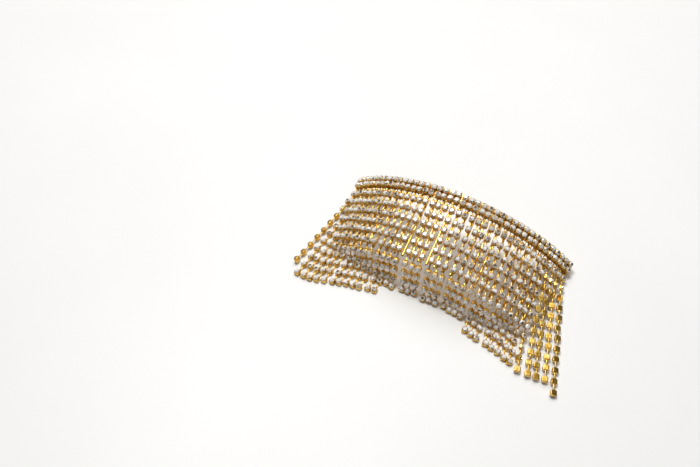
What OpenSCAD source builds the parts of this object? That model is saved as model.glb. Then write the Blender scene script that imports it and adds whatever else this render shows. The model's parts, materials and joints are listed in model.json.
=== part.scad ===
// Fringed rhinestone hair comb, lying arched side up with its fringe spread over a table.
// X runs along the header, the fringe falls towards -Y, Z is up and Z = 0 is the table.

/* [Header] */
// Length of the header, measured along its curve
header_length = 92; // [88:1:96]
// Half of the angle that the header is bent through
bend = 47; // [45:0.5:48]
// Rhinestones in each of the two header rows
header_count = 40; // [38:1:41]
// How far the plane of the bend leans towards the fringe
lean = 11.5; // [10:0.5:13]
// Height of the stone faces at the ends of the header above the table
end_height = 3.45; // [3.4:0.05:5]

/* [Comb] */
// Teeth in the comb
tooth_count = 26; // [20:1:26]
// Length of a tooth in front of the spine
tooth_length = 26.5; // [24:0.5:26.5]
// Diameter of the tooth wire
tooth_d = 0.8; // [0.6:0.05:0.8]
// Sideways slant of the teeth, as the comb is bent a little askew
tooth_slant = 3; // [0:0.5:3]

/* [Fringe] */
// Hanging strands
strand_count = 38; // [30:1:38]
// Rhinestones in the longest strand
stones_per_strand = 12; // [10:1:12]
// Distance between neighbouring stones in a strand
link_pitch = 3.85; // [3.6:0.05:4]
// Width and length of a strand's cup
cup_w = 2; // [1.8:0.05:2]
// Height of a cup's wall
cup_h = 1.15; // [1:0.05:1.2]
// How far a stone's crown stands above its cup
crown_h = 0.45; // [0.3:0.05:0.5]

/* [Hidden] */
$fn = 40;
eps = 0.01;

// Header: radii are measured from the axis of the bend, at the crowns of the header stones
bend_r = header_length * 180 / (2 * PI * bend);
sag_r = bend_r * cos(bend);
// Middle of the header's back edge, from the middle of the ground that the comb covers
header_at = [-3.94, 24.31, end_height];
header_step = 2 * bend / header_count;
header_cup_w = 2.08;
cup_wall = 0.13;
header_pocket_r = header_cup_w / 2 - cup_wall;
header_row_gap = 2.24;
header_row_y = [-1.2, -1.2 - header_row_gap];
band_t = 0.5;
band_depth = 4.6;
band_outer_r = bend_r - cup_h - crown_h - eps;
block_w = 2;
block_inset = 0.15;
block_drop = 1.6;
block_turn = bend - 0.5 * block_w * bend / (header_length / 2);

// Comb
tooth_r = bend_r - 3.05;
tooth_first = -39;
tooth_last = 37.5;
spine_d = 1.4;
spine_y = -0.9;
tooth_root = 0.3;
solder_d = 0.5;
solder_count = 13;
solder_length = 1.6;
solder_span = 1.86 * bend;
solder_y = -0.12;
solder_r = bend_r - 2.42;

// Hangers, one wire staple for each strand
pin_y = -5.8;
pin_r = bend_r - 1.95;
pin_d = 0.5;
leg_d = 0.4;
leg_offset = 0.6;
leg_length = 1.4;
pin_half = 0.85;
// The hangers stop a little short of the band's ends
hanger_share = 0.975;
strand_step = 2 * bend * hanger_share / (strand_count - 1);

// Strand: a chain lies along a line that runs line_h above the undersides of its cups
line_h = 0.2;
floor_t = 0.25;
// Middle of a cup with its stone, above the chain's line: rolled cups turn about it
body_mid = (cup_h + crown_h) / 2 - line_h;
pocket_r = cup_w / 2 - cup_wall;
stone_gap = 0.04;
girdle_h = 0.22;
// Radii of the table and of the culet flat, as shares of the stone's radius
table_share = 0.595;
culet_share = 0.3;
link_d = 0.36;
// A link is let into its own cup's wall, and hooks loosely into the next cup's
link_bite = 0.1;
link_gap = 0.04;
eye_r = 0.5;
eye_w = 0.6;
pin_clearance = 0.05;
first_stone = 1.4;
roll_share = 0.45;
over_r = 1.9;
landing_r = 2.2;
steepest = 84;
steepest_spread = 7;
// The teeth end this much further from the spine than the strands start to bend down
tip_inset = 4.8;
// Strands past this one hang a little further over the tips
right_part = 24;
right_extra = 1.2;
fringe_left = -43;
// First and last of the short strands under the top of the arch
short_first = 14;
short_last = 25;
// Turn from cup to cup where an outer strand has rolled over, and over how many cups
side_turn = -42;
side_turns = 2;
over_turn = 58;
over_turns = 3;
tight_step = 2.13;
// Strands after which the fringe has parted on the table, and by how much
partings = [[1, 0.8], [2, 0.3], [6, 0.6], [11, 0.7], [15, 1.5], [18, 1.4], [21, 0.9], [25, 0.7],
    [27, 0.1], [28, 0.8], [29, 0.15], [30, 0.2], [31, 0.2], [32, 0.1], [33, 0.5], [34, 1.1],
    [35, 0.35], [36, 0.4], [37, 0.6]];

gold = [0.83, 0.62, 0.25];
dark_gold = [0.62, 0.42, 0.16];
crystal = [0.9, 0.92, 0.95];

function pad2(k) = str(k < 10 ? "0" : "", k);
STRANDS = [for (k = [1:strand_count]) str("strand_", pad2(k))];

// A repeatable value between -1 and 1, to make neighbouring strands differ a little
function vary(k, a) = sin(k * 137.5 + a * 71) * cos(k * 53 + a * 19);

// World position of a point at angle t round the bend, y along its axis and radius r from it
function arch_point(t, y, r) =
    let (up = r * cos(t) - sag_r)
    header_at + [r * sin(t), y * cos(lean) - up * sin(lean), y * sin(lean) + up * cos(lean)];

// Places its children on the bend: X along the header, Y backwards, Z outwards
module on_arch(t, y, r) {
    translate(header_at) rotate([lean, 0, 0]) translate([0, y, -sag_r])
        rotate([0, t, 0]) translate([0, 0, r]) children();
}

// A strip bent round the header's axis, with a rectangular section
module bent_strip(inner_r, outer_r, y_back, y_front, half_angle) {
    translate(header_at) rotate([lean, 0, 0]) translate([0, 0, -sag_r])
        rotate([0, half_angle - 90, 0]) rotate([90, 0, 0])
            rotate_extrude(angle = 2 * half_angle, $fn = 180)
                translate([inner_r, -y_back]) square([outer_r - inner_r, y_back - y_front]);
}

// A straight round rod between two points
module rod(a, b, d) {
    v = b - a;
    translate(a) rotate([0, acos(v[2] / norm(v)), atan2(v[1], v[0])])
        cylinder(h = norm(v), d = d, $fn = 24);
}

// Open square cup with a round pocket, its underside at z = 0
module cup(w, wall_h, pocket) {
    difference() {
        translate([-w / 2, -w / 2, 0]) cube([w, w, wall_h]);
        translate([0, 0, floor_t]) cylinder(h = wall_h, r = pocket);
    }
}

// Round cut stone: culet in the pocket, girdle at the cup's rim, flat table on top
module stone(r, wall_h) {
    rotate_extrude()
        polygon([[0, floor_t + stone_gap], [r * culet_share, floor_t + stone_gap],
            [r, wall_h - girdle_h], [r, wall_h], [r * table_share, wall_h + crown_h],
            [0, wall_h + crown_h]]);
}

module header_band() {
    color(dark_gold)
        bent_strip(band_outer_r - band_t, band_outer_r, 0, -band_depth, bend);
}

module header_row(y) {
    for (k = [0:header_count - 1])
        on_arch((k + 0.5) * header_step - bend, y, band_outer_r + eps) children();
}

module header_cups_upper() {
    color(gold) header_row(header_row_y[0])
        cup(header_cup_w, cup_h, header_pocket_r);
}

module header_cups_lower() {
    color(gold) header_row(header_row_y[1])
        cup(header_cup_w, cup_h, header_pocket_r);
}

module header_stones_upper() {
    color(crystal) header_row(header_row_y[0])
        stone(header_pocket_r - stone_gap, cup_h);
}

module header_stones_lower() {
    color(crystal) header_row(header_row_y[1])
        stone(header_pocket_r - stone_gap, cup_h);
}

// Block that joins the end of the spine to the band; the comb stands on these two
module end_block(side) {
    color(gold)
        on_arch(side * block_turn, 0, band_outer_r - band_t)
            translate([-block_w / 2, -band_depth + block_inset, -block_drop])
                cube([block_w, band_depth - 2 * block_inset, block_drop - eps]);
}

module end_block_left() { end_block(-1); }

module end_block_right() { end_block(1); }

// Rod along the back of the comb, bent to the header's curve and ending at the blocks' faces
module comb_spine() {
    half = block_turn - asin((block_w / 2 + eps) / (tooth_r - spine_d / 2));
    color(gold)
        translate(header_at) rotate([lean, 0, 0]) translate([0, spine_y, -sag_r])
            rotate([0, half - 90, 0]) rotate([90, 0, 0])
                rotate_extrude(angle = 2 * half, $fn = 180)
                    translate([tooth_r, 0]) circle(d = spine_d, $fn = 24);
}

// Straight wires with rounded tips, let into the spine
module comb_teeth() {
    root = spine_y - spine_d / 2 + tooth_root;
    r = tooth_d / 2;
    round_tip = [for (a = [0:22.5:67.5]) [r * cos(a), tooth_length + r * sin(a)]];
    color(gold)
        for (k = [0:tooth_count - 1])
            on_arch(tooth_first + k * (tooth_last - tooth_first) / (tooth_count - 1), root, tooth_r)
                rotate([90, 0, tooth_slant])
                    rotate_extrude($fn = 24)
                        polygon(concat([[0, 0], [r, 0]], round_tip, [[0, tooth_length + r]]));
}

// Beads of solder in the corner between the band and the spine
module solder_joints() {
    color(dark_gold)
        for (k = [0:solder_count - 1])
            on_arch((k / (solder_count - 1) - 0.5) * solder_span, solder_y, solder_r)
                rotate([0, 90, 0]) cylinder(h = solder_length, d = solder_d, center = true, $fn = 24);
}

// Strand geometry -------------------------------------------------------------------------
function strand_angle(k) = (k - (strand_count + 1) / 2) * strand_step;
function strand_roll(k) = strand_angle(k) * roll_share;
function strand_pin(k) = arch_point(strand_angle(k), pin_y, pin_r);

// The fringe is a little shorter where the arch is high, and longest at the right-hand end
function stones(k) =
    k == strand_count ? stones_per_strand :
    k == 1 || (k >= short_first && k <= short_last) ? stones_per_strand - 2 :
    stones_per_strand - 1;

// Half turns: the outer strands have landed on their sides or face down
function lies_face_down(k) = k > strand_count - 4;
function cup_roll(k, i) =
    k == 1 ? max(0, min(i - 1, side_turns)) * side_turn :
    lies_face_down(k) ? min(i, over_turns) * (over_turn + 2 * vary(k, 1)) :
    k == strand_count - 4 ? max(0, min(i - 7, over_turns)) * over_turn :
    0;

// Height of the chain's line above the table for a cup that is rolled by a
function line_lift(a) =
    max([for (x = [-cup_w / 2, cup_w / 2], z = [-line_h, cup_h - line_h]) -(x * sin(a) + z * cos(a)),
        for (x = [-0.5, 0.5]) -(x * sin(a) + (cup_h + crown_h - line_h) * cos(a))]);

// Height of the chain's line on the table, along the strand's own upward direction
function landing_q(k) =
    (line_lift(strand_roll(k) + cup_roll(k, stones(k) - 1)) - strand_pin(k)[2])
        / cos(strand_roll(k));

// Where the plane that each strand swings in meets the table near the strand's end
function parted(k) = [for (g = partings) if (g[0] < k) g[1]];
function total(v, i = 0) = i < len(v) ? v[i] + total(v, i + 1) : 0;
function rest_x(k) =
    header_at[0] + fringe_left + total([for (i = [1:1:k - 1]) tight_step / cos(strand_roll(i))])
        + total(parted(k));

// Slope of the stretch that lies on the teeth, the fall's angle, and the lengths between
function top_slope(k) = atan(tan(lean + 0.6) * cos(strand_roll(k)));
function tip_reach(k) = tooth_length - tip_inset + 0.4 * vary(k, 3) + (k > right_part ? right_extra : 0);
function fall_height(k) = -landing_q(k) - tip_reach(k) * tan(top_slope(k));
function fall_angle(k) =
    let (f = fall_height(k), most = steepest - steepest_spread * (1 + vary(k, 5)) / 2)
    f <= 0 ? top_slope(k) :
    min(most, max(top_slope(k), acos(max(-1, 1 - f / (over_r + landing_r)))));
function top_length(k) =
    let (s = top_slope(k))
    fall_angle(k) > s ? tip_reach(k) / cos(s) :
    (-landing_q(k) - landing_r * (1 - cos(s))) / sin(s);
function fall_length(k) =
    let (a = top_slope(k), d = fall_angle(k))
    d > a ? max(0, (-landing_q(k) - top_length(k) * sin(a) - over_r * (cos(a) - cos(d))
        - landing_r * (1 - cos(d))) / sin(d)) : 0;

// Point [forward, up] on the chain's line at distance s from the pin
function chain_point(k, s) =
    let (a = top_slope(k), d = fall_angle(k), l1 = top_length(k), l2 = fall_length(k),
        arc1 = over_r * (d - a) * PI / 180, arc2 = landing_r * d * PI / 180,
        p1 = [l1 * cos(a), -l1 * sin(a)],
        p2 = p1 + over_r * [sin(d) - sin(a), cos(d) - cos(a)],
        p3 = p2 + l2 * [cos(d), -sin(d)],
        p4 = [p3[0] + landing_r * sin(d), landing_q(k)])
    s < l1 ? s * [cos(a), -sin(a)] :
    s < l1 + arc1 ?
        let (b = a + (s - l1) * 180 / PI / over_r)
        p1 + over_r * [sin(b) - sin(a), cos(b) - cos(a)] :
    s < l1 + arc1 + l2 ? p2 + (s - l1 - arc1) * [cos(d), -sin(d)] :
    s < l1 + arc1 + l2 + arc2 ?
        let (b = d - (s - l1 - arc1 - l2) * 180 / PI / landing_r)
        [p3[0] + landing_r * (sin(d) - sin(b)), landing_q(k) + landing_r * (1 - cos(b))] :
    p4 + [s - l1 - arc1 - l2 - arc2, 0];

// A cup is stiff, so it spans the chord of the stretch of line that it covers
function cup_at(i) = first_stone + i * link_pitch;
function cup_back(k, i) = chain_point(k, cup_at(i) - cup_w / 2);
function cup_front(k, i) = chain_point(k, cup_at(i) + cup_w / 2);
function cup_mid(k, i) = (cup_back(k, i) + cup_front(k, i)) / 2;
function cup_pitch(k, i) =
    let (v = cup_front(k, i) - cup_back(k, i)) -atan2(v[1], v[0]);

// Yaw that brings the strand from its pin to its resting place; the places are measured at
// the same distance along every strand, as the strands have different lengths
function strand_reach(k) = chain_point(k, cup_at(stones_per_strand - 2))[0];
function strand_yaw(k) =
    asin((rest_x(k) - strand_pin(k)[0] + strand_pin(k)[2] * tan(strand_roll(k))) / strand_reach(k));

// The strand's own frame: origin on the pin, X along it, -Y forwards, Z up
module at_pin(k) {
    translate(strand_pin(k)) rotate([0, 0, strand_yaw(k)]) rotate([0, strand_roll(k), 0]) children();
}

module at_cup(k, i) {
    m = cup_mid(k, i);
    translate([0, -m[0], m[1]]) rotate([cup_pitch(k, i), 0, 0])
        translate([-body_mid * sin(cup_roll(k, i)), 0, 0]) rotate([0, cup_roll(k, i), 0])
            translate([0, 0, -line_h]) children();
}

// Link from one cup's wall to just short of the next cup; where the chain bends, its square
// end stands at a slant to that cup and stops earlier
module chain_link(k, i) {
    turn = abs(cup_pitch(k, i + 1) - cup_pitch(k, i));
    reach = cup_w / 2 + link_gap + link_d / 2 * sin(turn);
    near = (cup_w / 2 - link_bite) * [cos(cup_pitch(k, i)), -sin(cup_pitch(k, i))];
    far = reach * [cos(cup_pitch(k, i + 1)), -sin(cup_pitch(k, i + 1))];
    a = cup_mid(k, i) + near;
    b = cup_mid(k, i + 1) - far;
    rod([0, -a[0], a[1]], [0, -b[0], b[1]], link_d);
}

// The first cup carries the eye that turns on the hanger's crossbar
module eye_cup(k) {
    difference() {
        union() {
            rotate([0, 90, 0]) cylinder(h = eye_w, r = eye_r, center = true);
            at_cup(k, 0) cup(cup_w, cup_h, pocket_r);
            chain_link(k, 0);
        }
        rotate([0, 90, 0]) cylinder(h = 2 * eye_w, r = pin_d / 2 + pin_clearance, center = true);
    }
}

// Every cup with its link, and every stone, is a solid of its own
module strand(k) {
    last = stones(k) - 1;
    at_pin(k) {
        color(gold) eye_cup(k);
        color(gold) for (i = [1:last]) {
            at_cup(k, i) cup(cup_w, cup_h, pocket_r);
            if (i < last) chain_link(k, i);
        }
        color(crystal) for (i = [0:last]) at_cup(k, i) stone(pocket_r - stone_gap, cup_h);
    }
}

// A staple's crossbar is the strand's hinge pin; its two legs are let into the band's edge
module hanger_staples() {
    back = [0, cos(lean), sin(lean)] * leg_length;
    color(gold)
        for (k = [1:strand_count]) {
            p = strand_pin(k);
            roll = strand_roll(k);
            yaw = strand_yaw(k);
            side = [cos(yaw) * cos(roll), sin(yaw) * cos(roll), -sin(roll)];
            rod(p - pin_half * side, p + pin_half * side, pin_d);
            for (d = [-leg_offset, leg_offset])
                rod(p + d * side, p + d * side + back, leg_d);
        }
}

header_band();
header_cups_upper();
header_cups_lower();
header_stones_upper();
header_stones_lower();
end_block_left();
end_block_right();
hanger_staples();
comb_spine();
comb_teeth();
solder_joints();
for (k = [1:strand_count])
    strand(k);
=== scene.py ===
"""Looks of the fringed rhinestone comb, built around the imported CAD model. Lengths are in metres."""
import json
import math
import random

import bpy
import numpy as np
from mathutils import Matrix, Vector


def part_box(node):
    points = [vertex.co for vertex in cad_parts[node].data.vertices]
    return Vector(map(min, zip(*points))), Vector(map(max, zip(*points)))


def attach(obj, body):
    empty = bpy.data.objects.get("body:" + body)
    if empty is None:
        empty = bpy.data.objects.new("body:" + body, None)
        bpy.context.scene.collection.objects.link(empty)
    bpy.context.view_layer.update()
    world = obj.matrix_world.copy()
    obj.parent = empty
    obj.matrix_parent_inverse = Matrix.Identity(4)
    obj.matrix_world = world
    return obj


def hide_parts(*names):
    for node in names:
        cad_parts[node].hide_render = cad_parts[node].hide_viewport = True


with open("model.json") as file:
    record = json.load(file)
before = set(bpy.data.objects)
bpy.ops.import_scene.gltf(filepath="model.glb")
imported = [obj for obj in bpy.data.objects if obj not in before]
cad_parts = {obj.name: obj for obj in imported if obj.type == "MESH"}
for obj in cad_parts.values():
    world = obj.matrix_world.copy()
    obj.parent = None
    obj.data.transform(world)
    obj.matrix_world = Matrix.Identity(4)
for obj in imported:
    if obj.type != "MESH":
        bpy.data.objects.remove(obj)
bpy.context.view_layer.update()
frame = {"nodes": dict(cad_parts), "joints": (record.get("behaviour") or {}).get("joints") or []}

# Sizes that the CAD cups and stones have, and that the detailed ones keep
CUP_HALF = 0.00100
HEADER_CUP_HALF = 0.00104
CUP_HEIGHT = 0.00115
STONE_TOP = 0.00160
# Stones fill their cups a little more than the CAD stones do
STONE_RADIUS = 0.00091
HEADER_STONE_RADIUS = 0.00095
# Height of the chain's line above the underside of a cup, and of a set stone's middle above it
LINE_HEIGHT = 0.00020
BODY_MIDDLE = 0.00060
# Half the thickness of a link, and how much broader than thick it is
LINK_RADIUS = 0.00017
LINK_BREADTH = 2.2
EYE_INNER = 0.00030
EYE_OUTER = 0.00050
EYE_HALF_WIDTH = 0.00030
SOLDER_RADIUS = 0.00025
SOLDER_STEPS = 11
# A flat face of a solid that is smaller than this is a stone's table, in square metres
TABLE_AREA_LIMIT = 1.2e-6
# How far a stone sits out of true in its cup, in degrees
STONE_TILT = 1.6
GLASS_IOR = 1.56
# Camera: lens and sensor in millimetres, its tilt from straight down and its turn in degrees
CAMERA_LENS = 41.14
CAMERA_SENSOR = 36
CAMERA_TILT = 37.82
CAMERA_TURN = 28.16
# From the middle of the header's back edge, on the floor, to the camera
CAMERA_FROM_HEADER = Vector((0.04832, -0.17369, 0.22100))

# Material slots that a crown facet may take (painted highlight, painted warm reflection, painted
# shade), and how often it does
PAINTED_FACET_TONES = (0, 2, 3)
PAINTED_FACET_SHARES = (0.56, 0.20, 0.24)

random.seed(7)


# Shader helpers --------------------------------------------------------------------------
def new_material(name):
    material = bpy.data.materials.new(name)
    material.use_nodes = True
    nodes = material.node_tree.nodes
    return material, nodes, material.node_tree.links, nodes["Principled BSDF"]


def object_noise(nodes, links, scale, detail=3.0, stretch=None):
    """Noise in the row frame; stretch lengthens it along one axis into brushing."""
    place = nodes.new("ShaderNodeTexCoord")
    noise = nodes.new("ShaderNodeTexNoise")
    noise.inputs["Scale"].default_value = scale
    noise.inputs["Detail"].default_value = detail
    if stretch:
        mapping = nodes.new("ShaderNodeMapping")
        mapping.inputs["Scale"].default_value = stretch
        links.new(place.outputs["Object"], mapping.inputs["Vector"])
        links.new(mapping.outputs["Vector"], noise.inputs["Vector"])
    else:
        links.new(place.outputs["Object"], noise.inputs["Vector"])
    return noise.outputs["Fac"]


def ramp(nodes, links, factor, stops):
    node = nodes.new("ShaderNodeValToRGB")
    first, last = node.color_ramp.elements[0], node.color_ramp.elements[-1]
    first.position, first.color = stops[0][0], (*stops[0][1], 1)
    last.position, last.color = stops[-1][0], (*stops[-1][1], 1)
    for position, color in stops[1:-1]:
        node.color_ramp.elements.new(position).color = (*color, 1)
    links.new(factor, node.inputs["Fac"])
    return node.outputs["Color"]


def spread(nodes, links, factor, low, high):
    node = nodes.new("ShaderNodeMapRange")
    node.inputs["To Min"].default_value = low
    node.inputs["To Max"].default_value = high
    links.new(factor, node.inputs["Value"])
    return node.outputs["Result"]


def bump(nodes, links, shader, factor, strength, distance):
    node = nodes.new("ShaderNodeBump")
    node.inputs["Strength"].default_value = strength
    node.inputs["Distance"].default_value = distance
    links.new(factor, node.inputs["Height"])
    links.new(node.outputs["Normal"], shader.inputs["Normal"])


def gold_material(name, deep, main, pale, rough, patch=700, scratch=(1, 1, 1)):
    """Plated brass: patchy tone, smudged gloss and fine marks from forming."""
    material, nodes, links, shader = new_material(name)
    shader.inputs["Metallic"].default_value = 1.0
    tone = object_noise(nodes, links, patch)
    colour = ramp(nodes, links, tone, [(0.30, deep), (0.52, main), (0.74, pale)])
    links.new(colour, shader.inputs["Base Color"])
    smudge = object_noise(nodes, links, patch * 2.6, 4.0)
    links.new(spread(nodes, links, smudge, rough[0], rough[1]), shader.inputs["Roughness"])
    marks = object_noise(nodes, links, patch * 7, 3.0, scratch)
    bump(nodes, links, shader, marks, 0.25, 0.00002)
    return material


def painted_facet_material(name, low, high):
    """One painted facet tone of a cut crystal over its foil, under a hard polish: flat colour that
    stands in for the highlight, warm reflection or shade a facet shows.
    """
    material, nodes, links, shader = new_material(name)
    shader.inputs["IOR"].default_value = GLASS_IOR
    shader.inputs["Transmission Weight"].default_value = 0.10
    shader.inputs["Coat Weight"].default_value = 1.0
    shader.inputs["Coat Roughness"].default_value = 0.03
    painted_tint = object_noise(nodes, links, 1300, 2.0)
    links.new(ramp(nodes, links, painted_tint, [(0.32, low), (0.62, high)]), shader.inputs["Base Color"])
    film = object_noise(nodes, links, 1500, 3.0)
    links.new(spread(nodes, links, film, 0.0, 0.05), shader.inputs["Roughness"])
    return material


def foil_material():
    """Mirror foil on the back of a stone, slightly uneven."""
    material, nodes, links, shader = new_material("crystal_foil")
    shader.inputs["Metallic"].default_value = 1.0
    tone = object_noise(nodes, links, 900)
    links.new(ramp(nodes, links, tone, [(0.3, (0.84, 0.84, 0.85)), (0.7, (0.99, 0.98, 0.97))]),
              shader.inputs["Base Color"])
    haze = object_noise(nodes, links, 2400, 3.0)
    links.new(spread(nodes, links, haze, 0.10, 0.30), shader.inputs["Roughness"])
    return material


# Reading places from the CAD solids ------------------------------------------------------
def islands(node):
    """The separate solids of a CAD node, each as an array of triangles."""
    mesh = node.data
    mesh.calc_loop_triangles()
    places = np.empty(len(mesh.vertices) * 3)
    mesh.vertices.foreach_get("co", places)
    corners = np.empty(len(mesh.loop_triangles) * 3, dtype=np.int64)
    mesh.loop_triangles.foreach_get("vertices", corners)
    places = places.reshape(-1, 3)
    welded, index = np.unique(np.round(places, 7), axis=0, return_inverse=True)
    triangles = index.reshape(-1)[corners].reshape(-1, 3)
    label = np.arange(len(welded))
    while True:
        low = label[triangles].min(axis=1)
        before = label.copy()
        for corner in range(3):
            np.minimum.at(label, triangles[:, corner], low)
        label = label[label]
        if (label == before).all():
            break
    owner = label[triangles[:, 0]]
    return [welded[triangles[owner == name]] for name in np.unique(owner)]


def flats(solid):
    """Flat faces of a solid as (area, unit normal, middle), largest first."""
    cross = np.cross(solid[:, 1] - solid[:, 0], solid[:, 2] - solid[:, 0])
    area = np.linalg.norm(cross, axis=1) / 2
    keep = area > 1e-13
    normal = cross[keep] / (2 * area[keep, None])
    middle = solid[keep].mean(axis=1)
    area = area[keep]
    offset = (normal * middle).sum(axis=1)
    keys = np.round(np.column_stack([normal * 200, offset * 2e5])).astype(np.int64)
    _, group = np.unique(keys, axis=0, return_inverse=True)
    group = group.reshape(-1)
    total = np.bincount(group, area)
    found = []
    for name in np.argsort(-total)[:4]:
        part = group == name
        weight = area[part][:, None]
        found.append((total[name], Vector((normal[part] * weight).sum(0)).normalized(),
                      Vector((middle[part] * weight).sum(0) / weight.sum())))
    return found


def is_stone(solid):
    """A stone is round, so its largest flat face is its table, which is small."""
    return flats(solid)[0][0] < TABLE_AREA_LIMIT


def stone_seat(solid):
    """Middle of a cup's underside and the way its stone faces."""
    _, up, table_middle = flats(solid)[0]
    return table_middle - up * STONE_TOP, up


# Shapes ----------------------------------------------------------------------------------
class Builder:
    """Collects vertices, faces, material numbers and smoothness for one mesh."""

    def __init__(self):
        self.points, self.faces, self.slots, self.smooth = [], [], [], []

    def add(self, shape, placing):
        base = len(self.points)
        points, faces, slots, smooth = shape
        self.points.extend(placing @ p for p in points)
        self.faces.extend([base + i for i in face] for face in faces)
        self.slots.extend(slots)
        self.smooth.extend([smooth] * len(faces))

    def make(self, name, materials):
        mesh = bpy.data.meshes.new(name)
        mesh.from_pydata(self.points, [], self.faces)
        mesh.polygons.foreach_set("material_index", self.slots)
        mesh.polygons.foreach_set("use_smooth", self.smooth)
        for material in materials:
            mesh.materials.append(material)
        mesh.validate()
        piece = bpy.data.objects.new(name, mesh)
        bpy.context.scene.collection.objects.link(piece)
        return piece


def lathe(rings):
    """Skins rings of equal length, with a fan over each end."""
    count = len(rings[0])
    points = [p for ring in rings for p in ring]
    faces = []
    for level in range(len(rings) - 1):
        a, b = level * count, (level + 1) * count
        faces += [[a + i, a + (i + 1) % count, b + (i + 1) % count, b + i] for i in range(count)]
    points.append(sum(rings[0], Vector()) / count)
    faces += [[len(points) - 1, (i + 1) % count, i] for i in range(count)]
    points.append(sum(rings[-1], Vector()) / count)
    last = (len(rings) - 1) * count
    faces += [[len(points) - 1, last + i, last + (i + 1) % count] for i in range(count)]
    return points, faces


def cup_shape(half, stone_radius):
    """Stamped square cup with a rounded underside and four prongs bent over the stone."""
    around = 32
    squareness = 5.5
    low_rim, prong_top = 0.86 * CUP_HEIGHT, 1.17 * CUP_HEIGHT
    inner = stone_radius + 0.00002

    def ring(share, height_share, lean, height_base=0.0, pull=0.0):
        result = []
        for i in range(around):
            angle = 2 * math.pi * i / around
            c, s = math.cos(angle), math.sin(angle)
            outer = half / (abs(c) ** squareness + abs(s) ** squareness) ** (1 / squareness)
            prong = ((1 - math.cos(4 * angle)) / 2) ** 4
            rim = low_rim + (prong_top - low_rim) * prong
            radius = outer * share * (1 - lean * prong)
            radius = radius + (inner - radius) * pull * (1 - 0.10 * prong)
            result.append(Vector((radius * c, radius * s, height_base + rim * height_share)))
        return result

    rings = [
        ring(0.55, 0.0, 0.0, 0.00001),
        ring(0.86, 0.0, 0.0, 0.0),
        ring(0.955, 0.0, 0.0, 0.00003),
        ring(0.995, 0.0, 0.0, 0.00011),
        ring(1.0, 0.35, 0.02),
        ring(1.0, 0.70, 0.06),
        ring(0.985, 0.90, 0.16),
        ring(0.95, 0.985, 0.27),
        ring(0.91, 1.0, 0.33),
        ring(0.88, 0.975, 0.36, 0.0, 0.35),
        ring(0.90, 0.80, 0.28, 0.0, 1.0),
        ring(0.90, 0.30, 0.22, 0.0, 1.0),
    ]
    points, faces = lathe(rings)
    return points, faces, [0] * len(faces), True


def stone_shape(radius):
    """Round brilliant: table, star, kite and girdle facets above, foiled pavilion below."""
    girdle_corners = 16
    girdle = 1.0 / math.cos(math.pi / girdle_corners)

    def ring(share, height, count, turn):
        return [Vector((radius * share * math.cos(2 * math.pi * (i + turn) / count),
                        radius * share * math.sin(2 * math.pi * (i + turn) / count), height))
                for i in range(count)]

    table = ring(0.56, STONE_TOP, 8, 0.5)
    star = ring(0.80, STONE_TOP - 0.00019, 8, 0.0)
    upper = ring(girdle, CUP_HEIGHT + 0.00003, girdle_corners, 0.0)
    lower = ring(girdle, CUP_HEIGHT - 0.00004, girdle_corners, 0.0)
    waist = ring(0.52, CUP_HEIGHT - 0.00044, 8, 0.5)
    culet = Vector((0, 0, 0.00030))
    points = table + star + upper + lower + waist + [culet]
    # Number of the first point of each ring, in that order, and of the culet
    t, s, u, w, v, c = 0, 8, 16, 32, 48, 56
    faces = [[t + i for i in range(8)]]
    for i in range(8):
        after, before = (i + 1) % 8, (i - 1) % 8
        faces.append([t + before, s + i, t + i])
        faces.append([t + i, s + i, u + 2 * i + 1, s + after])
        faces.append([s + i, u + 2 * i, u + 2 * i + 1])
        faces.append([s + i, u + (2 * i - 1) % 16, u + 2 * i])
    crown_count = len(faces)
    for i in range(16):
        after = (i + 1) % 16
        faces.append([u + i, w + i, w + after, u + after])
    for i in range(8):
        middle = w + 2 * i + 1
        faces.append([w + 2 * i, v + i, middle])
        faces.append([middle, v + i, w + (2 * i + 2) % 16])
        faces.append([w + (2 * i + 2) % 16, v + i, v + (i + 1) % 8])
        faces.append([v + i, c, v + (i + 1) % 8])
    return points, faces, [0] * crown_count + [1] * (len(faces) - crown_count), False


def sweep(path, radii, side, sides=10, breadth=1.0):
    """Wire along a path, round or flattened, with a radius at each point and closed ends."""
    rings = []
    for i, place in enumerate(path):
        ahead = path[min(i + 1, len(path) - 1)] - path[max(i - 1, 0)]
        ahead.normalize()
        across = (side - ahead * side.dot(ahead)).normalized()
        over = ahead.cross(across)
        rings.append([place + (across * breadth * math.cos(2 * math.pi * j / sides)
                               + over * math.sin(2 * math.pi * j / sides)) * radii[i]
                      for j in range(sides)])
    points, faces = lathe(rings)
    return points, faces, [0] * len(faces), True


def link_shape(start, end, side, up):
    """Connector between two cups: a flattened wire that is broader where it is caught."""
    steps = 9
    sag_share = 0.06
    sag = sag_share * (end - start).length
    shares = [i / (steps - 1) for i in range(steps)]
    path = [start.lerp(end, t) - up * sag * math.sin(math.pi * t) for t in shares]
    radii = [LINK_RADIUS * (0.62 + 0.50 * abs(2 * t - 1) ** 3) for t in shares]
    radii[0] = radii[-1] = LINK_RADIUS * 0.8
    return sweep(path, radii, side, 12, LINK_BREADTH)


def eye_shape(middle, axis):
    """Eye of a strand: a rounded ring that turns on the hanger's crossbar."""
    around, profile = 24, 12
    axis = axis.normalized()
    first = axis.orthogonal().normalized()
    second = axis.cross(first)
    mean, thick = (EYE_INNER + EYE_OUTER) / 2, (EYE_OUTER - EYE_INNER) / 2
    points, faces = [], []
    for i in range(around):
        a = 2 * math.pi * i / around
        out = first * math.cos(a) + second * math.sin(a)
        for j in range(profile):
            b = 2 * math.pi * j / profile
            points.append(middle + out * (mean + thick * math.cos(b))
                          + axis * EYE_HALF_WIDTH * math.sin(b))
    for i in range(around):
        for j in range(profile):
            a, b = i * profile, (i + 1) % around * profile
            k = (j + 1) % profile
            faces.append([a + j, b + j, b + k, a + k])
    return points, faces, [0] * len(faces), True


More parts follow.
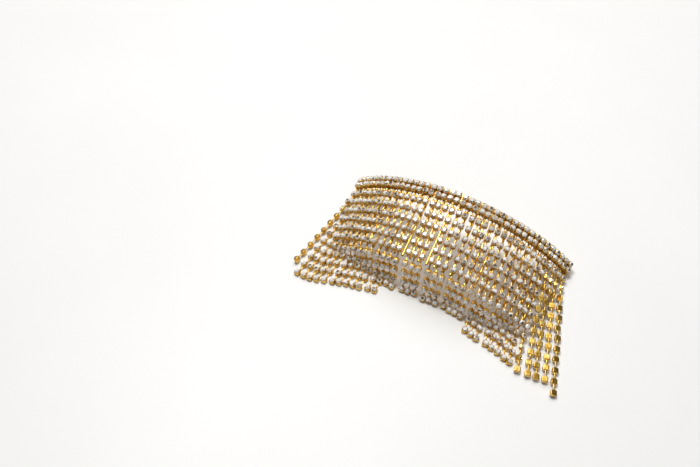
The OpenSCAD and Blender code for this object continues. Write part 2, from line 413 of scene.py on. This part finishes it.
# The pieces ------------------------------------------------------------------------------
def seat_matrix(origin, along, up):
    """Cup frame: Y along the row or chain, Z the way the stone faces."""
    across = along.cross(up).normalized()
    along = up.cross(across)
    return Matrix.Translation(origin) @ Matrix((across, along, up)).transposed().to_4x4()


def set_stone(builder, shape, placing):
    """Each stone sits at its own turn and tilt, and each crown facet is given a painted highlight,
    painted warm reflection or painted shade tone at random.
    """
    points, faces, slots, smooth = shape
    painted_tones = [random.choices(PAINTED_FACET_TONES, PAINTED_FACET_SHARES)[0] if slot == 0 else slot
             for slot in slots]
    shape = (points, faces, painted_tones, smooth)
    turn = Matrix.Rotation(random.uniform(0, math.tau), 4, "Z")
    lift = Matrix.Translation((0, 0, CUP_HEIGHT))
    tilt = (Matrix.Rotation(math.radians(random.gauss(0, STONE_TILT)), 4, "X")
            @ Matrix.Rotation(math.radians(random.gauss(0, STONE_TILT)), 4, "Y"))
    builder.add(shape, placing @ lift @ tilt @ lift.inverted() @ turn)


def finish_piece(piece, body, slot, *nodes):
    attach(piece, body)
    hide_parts(*nodes)


def row_seats(node):
    seats = [stone_seat(solid) for solid in islands(frame["nodes"][node])]
    return sorted(seats, key=lambda seat: seat[0].x)


def make_header(gold, stones):
    """Two rows of cups side by side along the band."""
    rows = {row: row_seats(f"header_stones_{row}") for row in ("upper", "lower")}
    cup = cup_shape(HEADER_CUP_HALF, HEADER_STONE_RADIUS)
    stone = stone_shape(HEADER_STONE_RADIUS)
    for row, seats in rows.items():
        cups, gems = Builder(), Builder()
        for k, (origin, up) in enumerate(seats):
            across = (rows["upper"][k][0] - rows["lower"][k][0]).normalized()
            placing = seat_matrix(origin, across, up)
            cups.add(cup, placing)
            set_stone(gems, stone, placing)
        finish_piece(cups.make(f"header_{row}_row_cups", [gold]), "comb", "gold",
                     f"header_cups_{row}")
        finish_piece(gems.make(f"header_{row}_row_stones", stones), "comb", "crystal",
                     f"header_stones_{row}")


def strand_seats(node, pin, axis):
    """Cups of a strand in order from its pin, as (origin, along, up)."""
    seats = [stone_seat(solid) for solid in islands(frame["nodes"][node]) if is_stone(solid)]
    placed = []
    for origin, up in seats:
        along = up.cross(axis).normalized()
        placed.append([origin, along, up])
    order, here = [], pin
    while placed:
        placed.sort(key=lambda seat: (seat[0] - here).length)
        nearest = placed.pop(0)
        onward = nearest[0] - here
        if nearest[1].dot(onward) < 0:
            nearest[1] = -nearest[1]
        order.append(nearest)
        here = nearest[0]
    return order


def on_line(seat, axis):
    """Where the chain's line passes the middle of a cup, which may be rolled about it."""
    origin, along, up = seat
    flat_up = along.cross(axis).normalized()
    if flat_up.z < 0:
        flat_up = -flat_up
    side = flat_up.cross(along)
    return origin + up * LINE_HEIGHT + side * -up.dot(side) * -BODY_MIDDLE, flat_up


def make_strand(joint, gold, stones, cup, stone):
    body = joint["child"]
    pin = Vector(joint["pos_m"])
    axis = Vector(joint["axis"]).normalized()
    seats = strand_seats(body, pin, axis)
    chain, gems = Builder(), Builder()
    lines = []
    for seat in seats:
        placing = seat_matrix(*seat)
        chain.add(cup, placing)
        set_stone(gems, stone, placing)
        lines.append((*on_line(seat, axis), seat[1]))
    whole = Matrix.Identity(4)
    for (a, up, ahead), (b, _, ahead_b) in zip(lines, lines[1:]):
        chain.add(link_shape(a + ahead * CUP_HALF * 0.92, b - ahead_b * CUP_HALF * 0.92, axis, up),
                  whole)
    first, up, ahead = lines[0]
    chain.add(eye_shape(pin, axis), whole)
    toward = (first - pin).normalized()
    chain.add(link_shape(pin + toward * EYE_OUTER * 0.86, first - ahead * CUP_HALF * 0.9, axis, up),
              whole)
    finish_piece(chain.make(f"{body}_chain", [gold]), body, "gold", body)
    finish_piece(gems.make(f"{body}_stones", stones), body, "crystal", body)


def make_solder(material):
    """Solder beads, each a lumpy fillet in the corner under the band."""
    beads = Builder()
    for solid in islands(frame["nodes"]["solder_joints"]):
        low, high = solid.reshape(-1, 3).min(0), solid.reshape(-1, 3).max(0)
        middle = Vector((low + high) / 2)
        points = solid.reshape(-1, 3) - np.array(middle)
        length = 2 * np.linalg.norm(points, axis=1).max()
        along = Vector(np.linalg.svd(points, full_matrices=False)[2][0])
        path, radii = [], []
        for i in range(SOLDER_STEPS):
            t = 2 * i / (SOLDER_STEPS - 1) - 1
            path.append(middle + along * t * 0.48 * length)
            swell = 0.88 + 0.12 * math.sin(9 * t + 40 * middle.x)
            radii.append(SOLDER_RADIUS * max(0.12, math.sqrt(max(0, 1 - t * t))) * swell)
        beads.add(sweep(path, radii, Vector((0, 1, 0)), 14), Matrix.Identity(4))
    finish_piece(beads.make("solder_beads", [material]), "comb", "dark_gold", "solder_joints")


def paint(node, material):
    """A CAD node whose shape is right keeps its mesh and gets its finish."""
    piece = frame["nodes"][node]
    piece.data.materials.clear()
    piece.data.materials.append(material)


# Stage -----------------------------------------------------------------------------------
def make_floor():
    bpy.ops.mesh.primitive_plane_add(size=3)
    floor = bpy.context.object
    floor.name = "floor"
    material, nodes, links, shader = new_material("pale_floor")
    tone = object_noise(nodes, links, 14, 5.0)
    links.new(ramp(nodes, links, tone, [(0.3, (0.90, 0.90, 0.905)), (0.7, (0.93, 0.93, 0.93))]),
              shader.inputs["Base Color"])
    shader.inputs["Roughness"].default_value = 0.45
    floor.data.materials.append(material)


def area_light(name, place, target, size, power, color):
    light = bpy.data.lights.new(name, "AREA")
    light.shape = "RECTANGLE"
    light.size, light.size_y = size
    light.energy = power
    light.color = color
    holder = bpy.data.objects.new(name, light)
    holder.location = place
    holder.rotation_euler = (Vector(target) - Vector(place)).to_track_quat("-Z", "Y").to_euler()
    bpy.context.scene.collection.objects.link(holder)


def make_light():
    target = (0, 0, 0)
    area_light("window", (-0.26, 0.14, 0.84), target, (0.34, 0.30), 5.2, (1.0, 0.99, 0.97))
    area_light("overhead", (0.15, 0.10, 0.85), target, (0.35, 0.35), 0.5, (1.0, 1.0, 1.0))
    area_light("back", (-0.16, 0.53, 0.71), target, (0.95, 0.60), 3.4, (1.0, 0.99, 0.97))
    area_light("fill", (0.60, -0.35, 0.40), target, (0.30, 0.30), 0.5, (1.0, 0.96, 0.92))
    world = bpy.data.worlds.new("studio")
    bpy.context.scene.world = world
    world.use_nodes = True
    background = world.node_tree.nodes["Background"]
    background.inputs["Color"].default_value = (1, 1, 1, 1)
    background.inputs["Strength"].default_value = 0.05
    bpy.context.scene.view_settings.view_transform = "Standard"


def make_camera():
    """Looks down at 52 degrees, from the front and a little to the right."""
    data = bpy.data.cameras.new("camera")
    data.sensor_width = CAMERA_SENSOR
    data.lens = CAMERA_LENS
    data.clip_start, data.clip_end = 0.01, 10
    camera = bpy.data.objects.new("camera", data)
    header_low, header_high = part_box("header_band")
    header_back = Vector(((header_low[0] + header_high[0]) / 2, header_high[1], 0))
    camera.location = header_back + CAMERA_FROM_HEADER
    camera.rotation_euler = (math.radians(CAMERA_TILT), 0, math.radians(CAMERA_TURN))
    bpy.context.scene.collection.objects.link(camera)
    bpy.context.scene.camera = camera


make_camera()
make_floor()
make_light()

GOLD = gold_material("cup_gold", (0.52, 0.27, 0.04), (0.84, 0.54, 0.12), (0.99, 0.78, 0.30),
                     (0.20, 0.40))
WIRE = gold_material("wire_gold", (0.50, 0.27, 0.05), (0.74, 0.46, 0.10), (0.92, 0.68, 0.24),
                     (0.10, 0.24), 500, (6, 0.4, 6))
BAND = gold_material("band_gold", (0.42, 0.24, 0.07), (0.60, 0.39, 0.14), (0.74, 0.53, 0.24),
                     (0.26, 0.46), 600, (0.3, 5, 5))
SOLDER = gold_material("solder", (0.38, 0.28, 0.15), (0.55, 0.42, 0.22), (0.72, 0.62, 0.42),
                       (0.30, 0.55), 900)
# Crown facets carry painted light: a white painted highlight, a warm painted reflection of the gold
# and a dark painted shade, in place of refraction
STONES = [painted_facet_material("crystal_painted_highlight", (0.95, 0.92, 0.87), (1.0, 1.0, 1.0)),
          foil_material(),
          painted_facet_material("crystal_painted_warm_reflection", (0.60, 0.50, 0.36), (0.84, 0.76, 0.62)),
          painted_facet_material("crystal_painted_shade", (0.08, 0.05, 0.03), (0.30, 0.23, 0.15))]

make_header(GOLD, STONES)
strand_cup = cup_shape(CUP_HALF, STONE_RADIUS)
strand_stone = stone_shape(STONE_RADIUS)
for swing in frame["joints"]:
    make_strand(swing, GOLD, STONES, strand_cup, strand_stone)
make_solder(SOLDER)
for part in ("comb_spine", "comb_teeth", "hanger_staples", "end_block_left", "end_block_right"):
    paint(part, WIRE)
paint("header_band", BAND)
